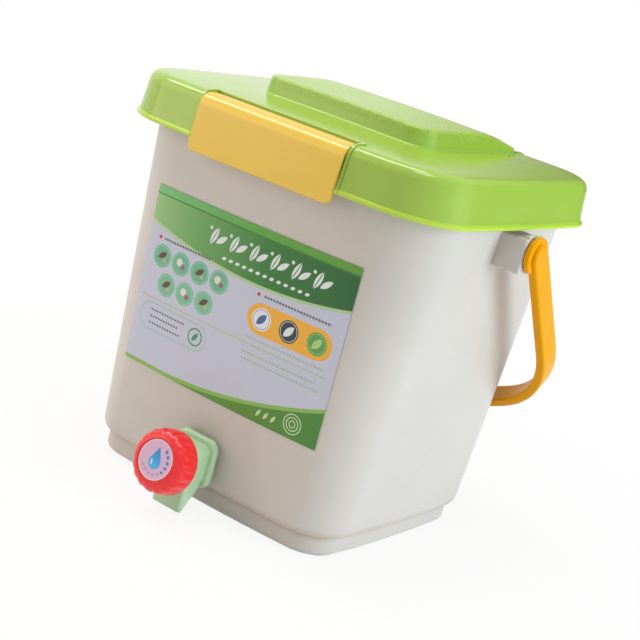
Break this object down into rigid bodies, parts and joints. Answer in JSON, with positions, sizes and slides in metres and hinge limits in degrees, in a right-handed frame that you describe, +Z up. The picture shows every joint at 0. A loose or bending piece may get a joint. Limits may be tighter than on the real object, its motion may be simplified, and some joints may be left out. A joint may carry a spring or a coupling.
{
  "type": "kitchen compost bin",
  "caption": "Lidded compost bucket with two hinged latches, a swinging bail, a lift-out drain plate and a drain tap with a round knob.",
  "frame": {"origin": "centre of the flat underside of the bucket", "axes": "+Z up, -Y towards the front with the tap and the label, +X to the right for someone who looks at the front; the bail's axis runs along X"},
  "size_m": [0.3252, 0.3034, 0.3065],
  "materials": {
    "bucket": "moulded polypropylene, off-white, fine satin",
    "lid": "moulded polypropylene, lime green, semi-gloss",
    "latch": "moulded polypropylene, warm yellow, semi-gloss",
    "handle": "moulded polypropylene, orange yellow, semi-gloss",
    "tap_green": "moulded polypropylene, pale green, satin",
    "knob_red": "moulded plastic, red, semi-gloss",
    "knob_sticker": "printed round label, coated",
    "screw_steel": "plated steel",
    "seal_rubber": "soft black rubber",
    "plate_grey": "moulded polypropylene, pale grey",
    "label": "printed film label, satin"
  },
  "bodies": {
    "bin": {"bucket": "bucket", "front_label": "label", "tap_body": "tap_green", "tap_outer_washer": "seal_rubber", "tap_inner_washer": "seal_rubber", "tap_nut": "tap_green"},
    "lid_assembly": {"lid": "lid", "lid_seal": "seal_rubber"},
    "front_latch_body": {"front_latch": "latch"},
    "rear_latch_body": {"rear_latch": "latch"},
    "bail": {"bail_handle": "handle"},
    "tap_handle": {"tap_plug": "tap_green", "tap_o_ring": "seal_rubber", "tap_knob": "knob_red", "tap_knob_screw": "screw_steel", "tap_knob_sticker": "knob_sticker"},
    "plate": {"drain_plate": "plate_grey"}
  },
  "joints": [
    {"name": "lid_lift", "type": "slide", "parent": "bin", "child": "lid_assembly", "axis": [0, 0, 1], "range_m": [0, 0.15]},
    {"name": "front_latch_hinge", "type": "hinge", "parent": "lid_assembly", "child": "front_latch_body", "pos_m": [0, -0.1104, 0.2872], "axis": [-1, 0, 0], "range_deg": [0, 93]},
    {"name": "rear_latch_hinge", "type": "hinge", "parent": "lid_assembly", "child": "rear_latch_body", "pos_m": [0, 0.1104, 0.2872], "axis": [1, 0, 0], "range_deg": [0, 93]},
    {"name": "bail_swing", "type": "hinge", "parent": "bin", "child": "bail", "pos_m": [0, 0, 0.2415], "axis": [1, 0, 0], "range_deg": [0, 281]},
    {"name": "tap_turn", "type": "hinge", "parent": "bin", "child": "tap_handle", "pos_m": [0, -0.14035, 0.0365], "axis": [0, 0.9681, -0.2504], "range_deg": [0, 90]},
    {"name": "drain_plate_lift", "type": "slide", "parent": "bin", "child": "plate", "axis": [0, 0, 1], "range_m": [0, 0.18]}
  ]
}
